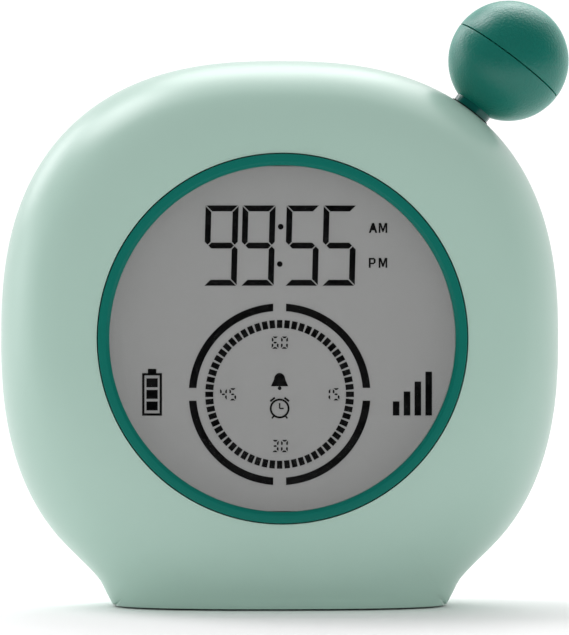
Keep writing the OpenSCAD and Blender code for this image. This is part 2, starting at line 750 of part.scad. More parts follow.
module encoder_shaft() color(metal) difference() {
  at_stem(shaft_bottom) cylinder(r = shaft_r, h = shaft_top - shaft_bottom);
  at_stem(collar_top) translate([-shaft_r, flat_cut, 0])
    cube([shaft_d, shaft_r, shaft_top - collar_top + cut]);
}
module encoder_plunger() color("#e8e2d0")
  at_stem(shaft_bottom - slip - plunger_t) cylinder(r = plunger_r, h = plunger_t);
module encoder_housing() color("#5d6266") difference() {
  union() {
    at_stem(housing_bottom) translate([-encoder_w / 2, -encoder_w / 2, 0])
      cube([encoder_w, encoder_w, housing_h]);
    at_stem(housing_top - 0.2) cylinder(r = bushing_r, h = bushing_top - housing_top + 0.2);
  }
  at_stem(shaft_bottom) cylinder(r = shaft_r + slip, h = bushing_top - shaft_bottom + cut);
  at_stem(shaft_bottom - plunger_t - press_travel - 0.3)
    cylinder(r = plunger_r + fit, h = plunger_t + press_travel + 0.4);
}
module encoder_nut() color(metal) at_stem(nut_top - nut_t) difference() {
  translate([0, 0, slip]) cylinder(r = nut_af / 2 / cos(30), h = nut_t - slip, $fn = 6);
  translate([0, 0, -cut]) cylinder(r = bushing_r + slip, h = nut_t + 2 * cut);
}
module encoder_washer() color(metal) at_stem(bracket_top) difference() {
  translate([0, 0, slip]) cylinder(r = nut_af / 2, h = washer_t - slip);
  translate([0, 0, -cut]) cylinder(r = bushing_r + slip, h = washer_t + 2 * cut);
}
module encoder_bracket() color("#cfd3d0") at_stem(housing_top) difference() {
  translate([-bracket_half, -post_at - post_r, 0])
    cube([2 * bracket_half, 2 * (post_at + post_r), bracket_t]);
  translate([0, 0, -cut]) cylinder(r = bushing_r + slip, h = bracket_t + 2 * cut);
  for (s = [-1, 1])
    translate([0, s * post_at, -cut]) cylinder(r = small_shank_r + fit, h = bracket_t + 2 * cut);
}
module bracket_screws() color(metal) for (s = [-1, 1])
  at_stem(housing_top) translate([0, s * post_at, 0]) rotate([180, 0, 0])
    screw(small_head_r, small_head_t, small_shank_r, bracket_screw_l);

function battery_z(k) = bay_z + (k - (battery_n - 1) / 2) * battery_pitch;
module battery(k) color(k % 2 == 0 ? "#3d7f72" : "#4c8f81")
  translate([k % 2 == 0 ? -battery_l / 2 : battery_l / 2, battery_y, battery_z(k)])
    rotate([0, k % 2 == 0 ? 90 : -90, 0]) {
      cylinder(r = battery_d / 2, h = battery_l - 1);
      cylinder(r = battery_d * 0.18, h = battery_l);
    }
module battery_1() if (battery_n > 0) battery(0);
module battery_2() if (battery_n > 1) battery(1);
module battery_3() if (battery_n > 2) battery(2);
plate_t = 0.5;
spring_wire_r = 0.35;
spring_turns = 3;
spring_steps = 10;
spring_wide = 0.34;
spring_taper = 0.14;
module battery_plates() color(metal) for (k = [0:battery_n - 1]) for (s = [-1, 1])
  translate([s * (bay_w / 2 - plate_t / 2 - slip), battery_y, battery_z(k)])
    cube([plate_t, battery_d - 2, battery_d - 2], center = true);

// A round wire carried along a list of points, closed by flat ends
function unit(v) = v / norm(v);
function wire_dir(pts, i) = unit(pts[min(i + 1, len(pts) - 1)] - pts[max(i - 1, 0)]);
function wire_side(d, up) = unit(cross(d, up));
module wire(pts, r, sides, up) {
  rings = [for (i = [0:len(pts) - 1])
    let (d = wire_dir(pts, i), a = wire_side(d, up), b = cross(d, a))
    for (k = [0:sides - 1])
      pts[i] + r * (a * cos(360 * k / sides) + b * sin(360 * k / sides))];
  last = len(rings) - sides;
  skin = [for (i = [0:len(pts) - 2]) for (k = [0:sides - 1])
    let (a = i * sides + k, b = i * sides + (k + 1) % sides)
    each [[a, b, b + sides], [a, b + sides, a + sides]]];
  polyhedron(
    points = rings,
    faces = concat([[for (k = [0:sides - 1]) sides - 1 - k]], skin, [[for (k = [0:sides - 1]) last + k]])
  );
}
// A smooth curve through chosen points, as even steps between each two of them. Its first and last
// stretches stay straight, so that a lead's ends stand square on what they meet.
function between(p, q, r, s, t) =
  0.5 * ((2 * q) + (r - p) * t + (2 * p - 5 * q + 4 * r - s) * t * t + (3 * q - p - 3 * r + s) * t * t * t);
function smooth_route(pts, steps) =
  let (last = len(pts) - 2)
  concat([pts[0]],
    [for (i = [1:last - 1]) for (k = [0:steps - (i == last - 1 ? 0 : 1)])
      between(pts[i - 1], pts[i], pts[i + 1], pts[i + 2], k / steps)],
    [pts[last + 1]]);

module battery_springs() color(metal) for (k = [0:battery_n - 1]) {
  s = k % 2 == 0 ? -1 : 1;
  start = bay_w / 2 - plate_t - 2 * slip - spring_wire_r;
  rise = start - battery_l / 2 - spring_wire_r - slip;
  wire([for (i = [0:spring_turns * spring_steps])
    let (
      f = i / (spring_turns * spring_steps),
      a = 360 * spring_turns * f,
      r = battery_d * (spring_wide - spring_taper * f)
    )
    [s * (start - rise * f), battery_y + r * cos(a), battery_z(k) + r * sin(a)]],
    spring_wire_r, 6, [1, 0, 0]);
}

module battery_door() color(mint) {
  difference() {
    union() {
      translate([0, 0, bay_z + door_t / 4]) span_y(back_y - door_t, back_y)
        square([door_w, door_h - door_t / 2], center = true);
      translate([-door_w / 2, hinge_y, hinge_z]) rotate([0, 90, 0]) cylinder(r = door_t / 2, h = door_w);
      translate([-door_w / 2 - pin_l, hinge_y, hinge_z]) rotate([0, 90, 0])
        cylinder(r = pin_r, h = door_w + 2 * pin_l);
    }
    translate([0, 0, bay_z + door_h / 2]) span_y(back_y - thumb_t, back_y + cut) circle(r = thumb_r);
  }
  for (k = [0:grip_n - 1])
    translate([0, 0, bay_z + door_h / 2 - grip_from - grip_pitch * k])
      span_y(back_y - 0.2, back_y + grip_show) square([grip_w, grip_t], center = true);
}

module button(i) color(teal) translate([row_x0 + i * button_pitch, 0, row_z]) {
  span_y(button_back, back_y + button_show) circle(r = button_d / 2);
  span_y(button_back, button_back + button_flange_t - slip) circle(r = flange_r);
}
module button_left() button(0);
module button_middle() if (button_n > 1) button(1);
module button_right() if (button_n > 2) button(2);
module plunger(i) color(black) translate([row_x0 + i * button_pitch, 0, row_z])
  span_y(button_back - plunger_l - 0.6, button_back) circle(r = 1.6);
module plunger_left() plunger(0);
module plunger_middle() if (button_n > 1) plunger(1);
module plunger_right() if (button_n > 2) plunger(2);
module button_switches() color("#44484c") for (i = [0:button_n - 1])
  translate([row_x0 + i * button_pitch, 0, row_z]) difference() {
    span_y(row_board_back, switch_back) square([switch_w, switch_w], center = true);
    span_y(switch_back - 2.2, switch_back + cut) circle(r = 1.6 + slip);
  }
module button_board() color(board_green) difference() {
  translate([row_board_x, 0, row_z]) span_y(row_board_front, row_board_back)
    square([row_board_w, row_board_h], center = true);
  for (x = row_post_x) translate([x, 0, row_z])
    span_y(row_board_front - cut, row_board_back + cut) circle(r = small_shank_r + fit);
}
module button_board_screws() color(metal) for (x = row_post_x)
  translate([x, row_board_front, row_z]) rotate([90, 0, 0])
    screw(small_head_r, small_head_t, small_shank_r, row_screw_l);
module slide_switch_housing() color(metal) translate([switch_x, 0, row_z]) difference() {
  span_y(row_board_back, switch_back) square([9, 4.6], center = true);
  span_y(switch_back - 1.6, switch_back + cut) square([slide_travel + 2.4, 2.2], center = true);
}
module slide_switch_cap() color(teal) translate([switch_x - slide_travel / 2, 0, row_z]) {
  span_y(back_y - wall - 0.6, back_y + 0.3) square([cap_w, cap_h], center = true);
  span_y(switch_back - 1.2, back_y - wall - 0.6) square([1.8, 1.8], center = true);
}

magnet_t = 1.6;
cone_depth = 1.4;
cone_rim = 2.4;
clamp_t = 1.2;
clamp_screw_l = 4.4;
module speaker() color(black) translate([0, 0, speaker_z]) difference() {
  span_y(speaker_front + magnet_t, speaker_back - slip) circle(r = speaker_r);
  span_y(speaker_back - cone_depth, speaker_back + cut) circle(r = speaker_r - cone_rim);
}
module speaker_magnet() color(metal) translate([0, 0, speaker_z])
  span_y(speaker_front, speaker_front + magnet_t) circle(r = speaker_r * 0.55);
module speaker_clamp() color("#cfd3d0") translate([0, 0, speaker_z]) difference() {
  span_y(speaker_front - clamp_t, speaker_front)
    square([2 * speaker_ear + 2 * post_r, 2 * post_r], center = true);
  for (s = [-1, 1])
    span_y(speaker_front - clamp_t - cut, speaker_front + cut)
      translate([s * speaker_ear, 0]) circle(r = small_shank_r + fit);
}
module speaker_screws() color(metal) for (s = [-1, 1])
  translate([s * speaker_ear, speaker_front - clamp_t, speaker_z]) rotate([90, 0, 0])
    screw(small_head_r, small_head_t, small_shank_r, clamp_screw_l);
module casing_screws() color(metal) for (p = screw_spots)
  translate([p[0], parting_y + boss_floor, p[1]]) rotate([-90, 0, 0])
    screw(casing_head_r, casing_head_t, casing_shank_r, boss_floor + screw_reach - 1);

// Routes of the inner leads, from each connector's back to the part that it feeds
lead_r = 0.55;
plug_y = face_y + board_back + connector_h;
function plug(k) = [connector_spots[k][0], plug_y, display_z + connector_spots[k][1]];
module lead_pair(route, apart, up) {
  for (s = [-1, 1])
    wire(smooth_route([for (p = route) p + s * apart], 4), lead_r, 8, up);
}
function stem_point(out) = [stem_x + out * sin(knob_tilt), 0, stem_z + out * cos(knob_tilt)];
side_by_side = [0.8, 0, 0];
across_stem = 0.82 * [cos(knob_tilt), 0, -sin(knob_tilt)];
bay_front_y = bay_floor_y - bay_wall;
battery_route = [plug(0), plug(0) + [0, 1, 0], [-24, 5, 62], [-22, bay_front_y - 5, bay_z + 14],
  [-22, bay_front_y - 1.5, bay_z + 11], [-22, bay_front_y, bay_z + 11]];
speaker_route = [plug(1), plug(1) + [0, 1, 0], [14, 6, 86], [10, speaker_front - 5, speaker_z + 6],
  [10, speaker_front, speaker_z + 7], [10, speaker_front + magnet_t, speaker_z + 7]];
encoder_route = [plug(2), plug(2) + [0, 1, 0], plug(2) + [0.3, 5, 3.5], [25.6, 1.5, 81],
  stem_point(housing_bottom - 3.5), stem_point(housing_bottom - 1), stem_point(housing_bottom)];
button_route = [plug(3), plug(3) + [0, 1, 0], [10, 6, 60], [8, row_board_front - 5, row_z],
  [8, row_board_front - 1.5, row_z], [8, row_board_front, row_z]];
module battery_leads() color("#b3332e") lead_pair(battery_route, side_by_side, [1, 0, 0]);
module speaker_leads() color("#30343a") lead_pair(speaker_route, side_by_side, [1, 0, 0]);
module encoder_leads() color("#9aa0a6") lead_pair(encoder_route, across_stem, across_stem);
module button_leads() color("#9aa0a6") lead_pair(button_route, side_by_side, [1, 0, 0]);

front_casing();
rear_casing();
display_ring();
display_window();
lcd_front_glass();
lcd_digits();
lcd_dial();
lcd_symbols();
lcd_rear_glass();
light_guide();
backlight_leds();
display_holder();
holder_screws();
contact_strips();
main_board();
controller_chip();
board_components();
board_connectors();
board_screws();
knob_upper_half();
knob_lower_half();
knob_collar();
encoder_shaft();
encoder_plunger();
encoder_housing();
encoder_nut();
encoder_washer();
encoder_bracket();
bracket_screws();
battery_1();
battery_2();
battery_3();
battery_springs();
battery_plates();
battery_door();
button_left();
button_middle();
button_right();
plunger_left();
plunger_middle();
plunger_right();
button_board();
button_switches();
button_board_screws();
slide_switch_housing();
slide_switch_cap();
speaker();
speaker_magnet();
speaker_clamp();
speaker_screws();
casing_screws();
foot_pad();
battery_leads();
speaker_leads();
encoder_leads();
button_leads();
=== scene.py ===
"""A desk visual timer: a mint squircle casing, a round display behind a teal ring, and a teal ball knob."""

import math

import bmesh
import bpy
import numpy as np
from mathutils import Matrix, Vector


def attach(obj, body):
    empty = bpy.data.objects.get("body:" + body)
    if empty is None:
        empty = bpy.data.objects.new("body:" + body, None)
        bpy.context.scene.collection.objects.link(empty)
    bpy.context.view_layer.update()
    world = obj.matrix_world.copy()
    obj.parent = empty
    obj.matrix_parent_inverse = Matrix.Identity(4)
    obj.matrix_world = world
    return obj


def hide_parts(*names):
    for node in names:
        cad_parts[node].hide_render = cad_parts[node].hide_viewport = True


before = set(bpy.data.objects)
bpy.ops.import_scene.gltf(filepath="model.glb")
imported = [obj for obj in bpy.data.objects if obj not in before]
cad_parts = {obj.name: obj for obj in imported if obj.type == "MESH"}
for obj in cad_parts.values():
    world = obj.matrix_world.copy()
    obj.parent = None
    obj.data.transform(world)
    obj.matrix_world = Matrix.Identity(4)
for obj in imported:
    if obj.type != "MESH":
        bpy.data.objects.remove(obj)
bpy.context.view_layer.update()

# Camera: a long lens a little left of the middle, at half the casing's height, so that the face is
# seen nearly square on and the ball just clears the top of the picture.
lens_at = Vector((-0.0215, -0.870, 0.0575))
aim = Vector((0.00104, 0.0, 0.06238))
seen_height = 0.1376
lens = bpy.data.cameras.new("camera")
lens.lens = lens.sensor_width * (aim - lens_at).length / seen_height
lens.clip_start = 0.05
lens.clip_end = 60
camera = bpy.data.objects.new("camera", lens)
bpy.context.scene.collection.objects.link(camera)
camera.location = lens_at
camera.rotation_euler = (aim - lens_at).to_track_quat("-Z", "Y").to_euler()
bpy.context.scene.camera = camera

# Casing surface: a rounded box drawn as a superellipse in every direction, 120 mm wide and 118 mm
# tall, with its widest level 57 mm up and a small flared foot. Both moulded halves share it. All
# sizes are in millimetres.
squareness = 2.51
low_drop = 2.34
low_spread = 3.0
casing_half_w = 60.2
casing_top = 117.8
waist_z = 57.4
floor_z = 0.4
foot_half_w = 36.1
foot_half_d = 18.0
foot_rise = 26
foot_slope = 0.56
foot_blend = 4.8
front_d = 26.3
rear_d = 29.7
swell = 1.3
face_ease = 0.3
face_blend = 6.0
back_blend = 2.0


def smooth_max(a, b, k):
    """The larger of a and b, bridged by a parabola of height k / 4 where they are closer than k."""
    return np.maximum(a, b) + (np.maximum(k - np.abs(a - b), 0) / k) ** 2 * k / 4


def remaining(share, drop, spread):
    """What is left of a superellipse at a share 0 to 1 of its way: (1 - share^drop)^(1/spread)."""
    return np.maximum(1 - share ** drop, 0) ** (1 / spread)


def reach(z):
    """How much of its full size the casing has at height z. The share runs 0 to 1 from the waist to either
    end. Above the waist both powers are the squareness, and below it low_drop and low_spread."""
    above = z > waist_z
    share = np.where(above, (z - waist_z) / (casing_top - waist_z), (waist_z - z) / (waist_z - floor_z))
    drop = np.where(above, squareness, low_drop)
    spread = np.where(above, squareness, low_spread)
    return remaining(np.clip(share, 0, 1), drop, spread)


def with_foot(z, half, foot_half):
    """The half size at height z, taken out to the foot's side in the lower part where that is larger. The
    side leans out by slope * rise * (1 - (1 - height)^2) / 2, with height running 0 to 1 over the rise."""
    height = np.clip((z - floor_z) / foot_rise, 0, 1)
    side = foot_half + foot_slope * foot_rise * (1 - (1 - height) ** 2) / 2
    return np.where(z > waist_z / 2, half, smooth_max(half, side, foot_blend))


def half_width(z):
    """Half the casing's width at height z."""
    return with_foot(z, casing_half_w * reach(z), foot_half_w)


def surface_y(x, z, depth, face, blend):
    """How far the surface lies from the widest section's plane at (x, z): a superellipse over the width, as
    deep as the height allows, and flattened softly where it would pass the face."""
    half_depth = with_foot(z, depth * swell * reach(z), foot_half_d)
    y = half_depth * remaining(np.abs(x) / half_width(z), squareness, squareness)
    return -smooth_max(-y, -face, blend)


def front_y(x, z):
    """How far the front surface lies in front of the widest section's plane at (x, z)."""
    return surface_y(x, z, front_d, front_d + face_ease, face_blend)


def rear_y(x, z):
    """How far the rear surface lies behind the widest section's plane at (x, z), with a flat back."""
    return surface_y(x, z, rear_d, rear_d, back_blend)


# Mint ABS, injection moulded with a fine satin spark texture. The eye gets a soft pale green with
# broad, blurred highlights and a faint tooth. The 0.1 mm texture is drawn 0.5 mm coarse to show.


def linear(code):
    """A hex sRGB colour as linear red, green, blue and 1: c / 12.92 up to 0.04045, and above it
    ((c + 0.055) / 1.055)^2.4."""
    c = np.array([int(code[i:i + 2], 16) for i in (1, 3, 5)]) / 255
    return [*np.where(c <= 0.04045, c / 12.92, ((c + 0.055) / 1.055) ** 2.4).tolist(), 1.0]


def new_material(name):
    """An empty node material of that name, and its node tree."""
    material = bpy.data.materials.new(name)
    material.use_nodes = True
    material.node_tree.nodes.clear()
    return material, material.node_tree


def add_node(tree, kind, settings={}, links={}):
    """A new node: each setting goes on the socket or property of its name, and each link comes from a pair
    of node and output. A number stands for a socket whose name several sockets share."""
    made = tree.nodes.new(kind)
    for key, value in settings.items():
        if isinstance(key, int) or key in made.inputs:
            made.inputs[key].default_value = value
        else:
            setattr(made, key, value)
    for key, (source, output) in links.items():
        tree.links.new(source.outputs[output], made.inputs[key])
    return made


mint, tree = new_material("satin_moulded_abs_mint")
place = add_node(tree, "ShaderNodeTexCoord")
cloud = add_node(tree, "ShaderNodeTexNoise", {"Scale": 28.0, "Detail": 2.0}, {"Vector": (place, "Object")})
tint = add_node(tree, "ShaderNodeMix", {"data_type": "RGBA", 6: linear("#a6c4b7"), 7: linear("#aac7bb")},
                {0: (cloud, 0)})
tooth = add_node(tree, "ShaderNodeTexNoise", {"Scale": 2000.0, "Detail": 2.0, "Roughness": 0.6},
                 {"Vector": (place, "Object")})
rough = add_node(tree, "ShaderNodeMapRange", {"To Min": 0.30, "To Max": 0.36}, {"Value": (tooth, 0)})
relief = add_node(tree, "ShaderNodeBump", {"Strength": 0.05, "Distance": 0.0001}, {"Height": (tooth, 0)})
shader = add_node(tree, "ShaderNodeBsdfPrincipled", {"IOR": 1.52, "Specular IOR Level": 0.5},
                  {"Base Color": (tint, 2), "Roughness": (rough, 0), "Normal": (relief, 0)})
add_node(tree, "ShaderNodeOutputMaterial", {}, {"Surface": (shader, 0)})

# Front half of the casing: moulded ABS, 2.4 mm thick, from the ring's opening over the rounded edge
# to the parting line behind the widest section, with the foot's floor in one piece with it. The stem
# of the knob goes through a hole at its upper right.
display_z = 57.8
opening_r = 39.1
wall = 2.4
parting_y = 12.0
half_seam = 0.06
face_points = 64
band_points = 8
level_turn = 0.7
most_inset = 20.0


def solved(low, high, inside):
    """The value between low and high where inside() turns false, by halving the span 60 times."""
    for _ in range(60):
        middle = (low + high) / 2
        within = inside(middle)
        low, high = np.where(within, middle, low), np.where(within, high, middle)
    return (low + high) / 2


def outline_r(t):
    """Distance from the display's centre to the casing's outline in direction t: where the line leaves the
    top or the half width, or meets the floor."""
    c, s = np.cos(t), np.sin(t)

    def inside(r):
        z = display_z + r * s
        return (z < casing_top) & (np.abs(r * c) < half_width(z))

    side = solved(0 * t, 0 * t + 90, inside)
    return np.where(s < 0, np.minimum(side, (display_z - floor_z) / np.maximum(-s, 1e-9)), side)


def face_path(t, start, end, depth_at, steps=700):
    """Lines of points over the surface, each straight out from the display's centre from radius start to
    radius end, close together towards the end, where the surface turns away: the radius is
    end * cos a / (cos^p a + sin^p a)^(1/p), with p the squareness."""
    a0 = np.arctan(np.maximum((end / start) ** squareness - 1, 0) ** (1 / squareness))[:, None]
    a = a0 * np.linspace(1, 0, steps) ** 1.4
    r = end[:, None] * np.cos(a) / (np.cos(a) ** squareness + np.sin(a) ** squareness) ** (1 / squareness)
    x, z = r * np.cos(t)[:, None], display_z + r * np.sin(t)[:, None]
    return np.stack([x, depth_at(x, z), z], -1)


def even_steps(paths, count):
    """Each row of paths is a line of points; the result has count points at even distances along each."""
    step = np.linalg.norm(np.diff(paths, axis=1), axis=2)
    length = np.concatenate([np.zeros((len(paths), 1)), np.cumsum(step, 1)], 1)
    share = np.linspace(0, 1, count)
    even = [[np.interp(share * l[-1], l, p[:, k]) for k in range(3)] for l, p in zip(length, paths)]
    return np.array(even).transpose(0, 2, 1)


def grid_faces(rows, columns, closed=False):
    """Quads between neighbouring points of a grid that is stored row by row; closed joins its last column
    to its first."""
    i, j = np.meshgrid(np.arange(rows - 1), np.arange(columns if closed else columns - 1), indexing="ij")
    a, b = i * columns + j, i * columns + (j + 1) % columns
    return np.stack([a, b, b + columns, a + columns], -1).reshape(-1, 4).tolist()


def make_piece(name, points, faces, merge=0.002):
    """A mesh object from points in millimetres and faces that number them. Points closer than merge become
    one, and all faces are turned outwards by the sign of the volume that they span about their middle."""
    mesh = bpy.data.meshes.new(name)
    mesh.from_pydata((np.asarray(points, float).reshape(-1, 3) / 1000).tolist(), [], faces)
    form = bmesh.new()
    form.from_mesh(mesh)
    bmesh.ops.remove_doubles(form, verts=form.verts, dist=merge / 1000)
    bmesh.ops.dissolve_degenerate(form, edges=form.edges, dist=1e-7)
    bmesh.ops.recalc_face_normals(form, faces=form.faces)
    middle = sum((v.co for v in form.verts), Vector()) / len(form.verts)
    if sum((f.calc_center_median() - middle).dot(f.normal) * f.calc_area() for f in form.faces) < 0:
        bmesh.ops.reverse_faces(form, faces=form.faces)
    form.to_mesh(mesh)
    form.free()
    piece = bpy.data.objects.new(name, mesh)
    bpy.context.scene.collection.objects.link(piece)
    return piece


def apply_modifiers(piece):
    """Puts what the piece's modifiers make of its mesh in the mesh's place."""
    bpy.context.view_layer.update()
    done = bpy.data.meshes.new_from_object(piece.evaluated_get(bpy.context.evaluated_depsgraph_get()))
    piece.modifiers.clear()
    piece.data = done


def settle(piece, angle=32):
    """Applies the piece's modifiers and shades it smooth, apart from edges over the angle in degrees."""
    apply_modifiers(piece)
    piece.data.shade_smooth()
    piece.data.set_sharp_from_angle(angle=math.radians(angle))
    return piece


def give_wall(skin):
    """Thickens an open skin inwards to the casing's wall."""
    thick = skin.modifiers.new("wall", "SOLIDIFY")
    thick.thickness = wall / 1000
    thick.offset = -1
    thick.use_even_offset = True
    return settle(skin)


def cut_away(piece, cutter):
    """Takes the closed cutter's space out of the piece, and removes the cutter."""
    cut = piece.modifiers.new("cut", "BOOLEAN")
    cut.operation = "DIFFERENCE"
    cut.solver = "EXACT"
    cut.object = cutter
    apply_modifiers(piece)
    bpy.data.objects.remove(cutter)
    return settle(piece)


def revolved(profile, turn, origin, steps=160):
    """A profile of (radius, height) points carried round an axis, as points row by row and faces. The origin
    is the axis's foot in millimetres, and turn the rotation that takes +Z onto the axis."""
    a = np.linspace(0, 2 * np.pi, steps, endpoint=False)
    p = np.asarray(profile, float)
    ring = np.stack([p[:, :1] * np.cos(a), p[:, :1] * np.sin(a), p[:, 1:] + 0 * a], -1)
    points = ring @ np.array(turn.to_3x3()).T + np.asarray(origin, float)
    return points, grid_faces(len(p), steps, True)


def paint(piece, material):
    """Gives the piece one material."""
    piece.data.materials.clear()
    piece.data.materials.append(material)


corner = math.atan2(floor_z - display_z, foot_half_w)
over = np.linspace(corner, math.pi - corner, 333)
under = np.linspace(math.pi - corner, 2 * math.pi + corner, 85)[1:-1]
turn = np.concatenate([over, under])
face = face_path(turn, opening_r + 0 * turn, outline_r(turn), lambda x, z: -front_y(x, z))
face[:len(over), -1, 1] = 0.0
face = even_steps(face, face_points)
widest = face[:len(over), -1][:, [0, 2]]
slant = np.clip((over - corner) / level_turn, 0, 1)
slant = np.minimum(slant, slant[::-1])
inward = -np.stack([np.cos(over), np.sin(over) * slant], -1)
inward /= np.linalg.norm(inward, axis=1)[:, None]
depth = np.linspace(0, parting_y - half_seam, band_points + 1)[1:]


def inset_by(step):
    """Points (x, z) that lie step inside the widest outline, in rows of one direction each."""
    return widest[:, None] + step[..., None] * inward[:, None]


least = np.zeros((len(over), band_points))
inset = solved(least, least + most_inset, lambda s: rear_y(*np.moveaxis(inset_by(s), -1, 0)) < depth)
band = inset_by(inset)
band = np.stack([band[..., 0], depth + 0 * band[..., 0], band[..., 1]], -1)
band[[0, -1], :, 2] = floor_z
points = np.concatenate([face.reshape(-1, 3), band.reshape(-1, 3)])
faces = [[a, d, c, b] for a, b, c, d in grid_faces(len(turn), face_points)]
last_row = face_points * (len(turn) - 1)
faces += [[last_row + k, k, k + 1, last_row + k + 1] for k in range(face_points - 1)]
face_end = face_points * np.arange(len(turn)) + face_points - 1
band_rows = face_points * len(turn) + np.arange(len(over) * band_points).reshape(-1, band_points)
edge = np.concatenate([face_end[:len(over), None], band_rows], 1)
faces += np.stack([edge[:-1, :-1], edge[:-1, 1:], edge[1:, 1:], edge[1:, :-1]], -1).reshape(-1, 4).tolist()
faces.append(edge[-1, ::-1].tolist() + face_end[len(over):].tolist() + edge[0].tolist())
front_skin = give_wall(make_piece("front_casing_shell", points, faces))
tilt = math.radians(37.3)
stem_foot = np.array([41.2637, 0.0, 107.0838])
stem_dir = np.array([math.sin(tilt), 0.0, math.cos(tilt)])
stem_turn = Matrix.Rotation(tilt, 4, "Y")
stem_hole_r = 4.65
profile = [(0, -9), (stem_hole_r, -9), (stem_hole_r, 6), (0, 6)]
points, faces = revolved(profile, stem_turn, stem_foot, 128)
cut_away(front_skin, make_piece("stem_cutter", points, faces))
paint(front_skin, mint)
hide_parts("front_casing")
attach(front_skin, "casing")

# The round seat behind the opening: part of the front half's moulding, a wall round the ring and a
# ledge that the window presses on, turned here as one profile about the display's axis. A profile's
# heights are measured forwards from the widest section.
face_turn = Matrix.Rotation(math.radians(90), 4, "X")
seat_r = 39.16
seat_outer_r = 41.4
ledge_r = 36.6
ledge_front = 22.25
ledge_back = 20.9


def rounded_corner(corner, before, after, radius, steps=5):
    """Points of a fillet in the plane: the corner c is cut back along both of its sides by radius, to s and
    e, and bridged by the quadratic curve (1 - t)^2 s + 2 t (1 - t) c + t^2 e."""
    c, b, d = (np.asarray(v, float) for v in (corner, before, after))
    start = c + (b - c) / np.linalg.norm(b - c) * radius
    end = c + (d - c) / np.linalg.norm(d - c) * radius
    t = np.linspace(0, 1, steps)[:, None]
    return ((1 - t) ** 2 * start + 2 * t * (1 - t) * c + t ** 2 * end).tolist()


def rounded_profile(corners, radii, closed=True):
    """A polygon's corners, each rounded by its own radius; 0 leaves a corner as it is."""
    n = len(corners)
    out = []
    for k, (c, r) in enumerate(zip(corners, radii)):
        sharp = r == 0 or (not closed and k in (0, n - 1))
        out += [list(c)] if sharp else rounded_corner(c, corners[k - 1], corners[(k + 1) % n], r)
    return out + ([out[0]] if closed else [])


profile = rounded_profile([(seat_r, 24.9), (seat_outer_r, 24.0), (seat_outer_r, ledge_back),
                           (ledge_r, ledge_back), (ledge_r, ledge_front), (seat_r, ledge_front)],
                          [0, 0, 0, 0.2, 0.2, 0])
points, faces = revolved(profile, face_turn, (0, 0, display_z), 192)
seat = settle(make_piece("display_seat", points, faces))
paint(seat, mint)
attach(seat, "casing")

# Deep-teal ABS for the ring: moulded and lightly polished, so it keeps a soft sheen along its edge.
# Its faint tooth is drawn 0.4 mm coarse.
ring_teal, tree = new_material("semi_gloss_abs_teal")
place = add_node(tree, "ShaderNodeTexCoord")
tooth = add_node(tree, "ShaderNodeTexNoise", {"Scale": 2600.0, "Detail": 2.0}, {"Vector": (place, "Object")})
rough = add_node(tree, "ShaderNodeMapRange", {"To Min": 0.30, "To Max": 0.40}, {"Value": (tooth, 0)})
relief = add_node(tree, "ShaderNodeBump", {"Strength": 0.04, "Distance": 0.0001}, {"Height": (tooth, 0)})
shader = add_node(tree, "ShaderNodeBsdfPrincipled",
                  {"Base Color": linear("#026a5e"), "IOR": 1.5, "Specular IOR Level": 0.15},
                  {"Roughness": (rough, 0), "Normal": (relief, 0)})
add_node(tree, "ShaderNodeOutputMaterial", {}, {"Surface": (shader, 0)})

# Display ring: a moulded hoop with a flat band that stands 0.25 mm proud of the casing, and a small
# inner chamfer that catches the light. Its skirt presses the window onto the ledge.
ring_front = 26.55
ring_outer_r = 38.85
ring_inner_r = 36.45
skirt_r = 37.4
skirt_back = 22.3
window_front = 23.9
profile = rounded_profile([(ring_inner_r + 0.7, ring_front), (ring_outer_r, ring_front),
                           (ring_outer_r, skirt_back), (skirt_r, skirt_back), (skirt_r, window_front),
                           (ring_inner_r, window_front), (ring_inner_r, ring_front - 0.6)],
                          [0.15, 0.25, 0.1, 0.1, 0, 0.1, 0.15])
points, faces = revolved(profile, face_turn, (0, 0, display_z), 256)
ring = settle(make_piece("display_ring_hoop", points, faces), 28)
paint(ring, ring_teal)
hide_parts("display_ring")
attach(ring, "casing")

# Window: a 1.6 mm disc of clear polished acrylic under the ring. It is nearly invisible and adds
# only a faint reflection, so it lets most of the light through by its alpha.


def dress(names, material):
    """Puts one material on CAD nodes that stay as they are."""
    for name in names:
        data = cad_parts[name].data
        data.materials.clear()
        data.materials.append(material)


clear, tree = new_material("clear_polished_acrylic")
shader = add_node(tree, "ShaderNodeBsdfPrincipled",
                  {"Base Color": linear("#050606"), "Roughness": 0.06, "IOR": 1.49, "Alpha": 0.03})
add_node(tree, "ShaderNodeOutputMaterial", {}, {"Surface": (shader, 0)})
dress(["display_window"], clear)

# Display glass: a cut octagon of soda-lime sheet, 1.1 mm, with the same faint look but a greyer body
# colour. Its back is drawn 0.05 mm clear of the marks, so that they show as solid black.
glass, tree = new_material("display_sheet_glass")
shader = add_node(tree, "ShaderNodeBsdfPrincipled",
                  {"Base Color": linear("#060706"), "Roughness": 0.05, "IOR": 1.52, "Alpha": 0.03})
add_node(tree, "ShaderNodeOutputMaterial", {}, {"Surface": (shader, 0)})
half_side = math.radians(22.5)
glass_r = 39.0 / math.cos(half_side)
glass_back = 19.85
profile = rounded_profile([(0, glass_back), (glass_r, glass_back), (glass_r, ledge_back), (0, ledge_back)],
                          [0, 0.1, 0.1, 0], closed=False)
points, faces = revolved(profile, face_turn @ Matrix.Rotation(half_side, 4, "Z"), (0, 0, display_z), 8)
sheet = settle(make_piece("display_front_sheet", points, faces))
paint(sheet, glass)
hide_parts("lcd_front_glass")
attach(sheet, "casing")

